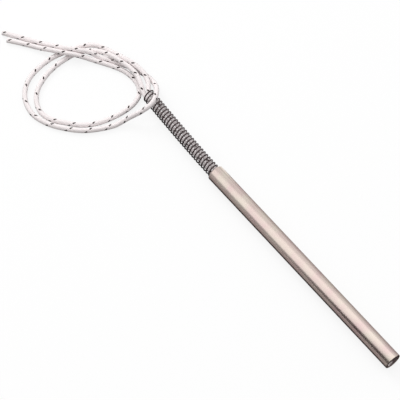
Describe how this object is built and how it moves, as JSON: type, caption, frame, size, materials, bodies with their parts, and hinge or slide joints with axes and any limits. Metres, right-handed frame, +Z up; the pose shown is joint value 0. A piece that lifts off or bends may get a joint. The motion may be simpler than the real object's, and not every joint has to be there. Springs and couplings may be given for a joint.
{
  "type": "cartridge heater",
  "caption": "Round stainless cartridge heater with a coil spring strain relief and braided glass leads that lie in a loose loop.",
  "frame": {"origin": "on the table below the middle of the sheath, the bottom centre of the sheath as it lies", "axes": "+X along the sheath towards its blind tip, +Z up from the table, +Y to the side away from the leads' loop"},
  "size_m": [0.3048, 0.0702, 0.0121],
  "materials": {
    "sheath_steel": "satin ground stainless",
    "end_disc_steel": "welded, dull",
    "magnesia": "pressed, matt",
    "resistance_wire": "drawn, lightly oxidised",
    "nickel": "drawn, bright",
    "cement": "cast, matt",
    "spring_steel": "oil tempered, dark",
    "glass_braid": "braided glass yarn with a dark tracer"
  },
  "bodies": {
    "root": {"sheath": "sheath_steel", "end_disc": "end_disc_steel", "tip_insulator": "magnesia", "core_1": "magnesia", "core_2": "magnesia", "core_3": "magnesia", "core_4": "magnesia", "core_5": "magnesia", "core_6": "magnesia", "element_coil": "resistance_wire", "pin_long": "nickel", "pin_short": "nickel", "mgo_fill": "magnesia", "lead_end_core": "magnesia", "splice_a": "nickel", "splice_b": "nickel", "splice_sleeve_a": "glass_braid", "splice_sleeve_b": "glass_braid", "conductor_a": "nickel", "conductor_b": "nickel", "mouth_seal": "cement", "strain_relief_spring": "spring_steel", "lead_a": "glass_braid", "lead_b": "glass_braid"}
  },
  "joints": []
}
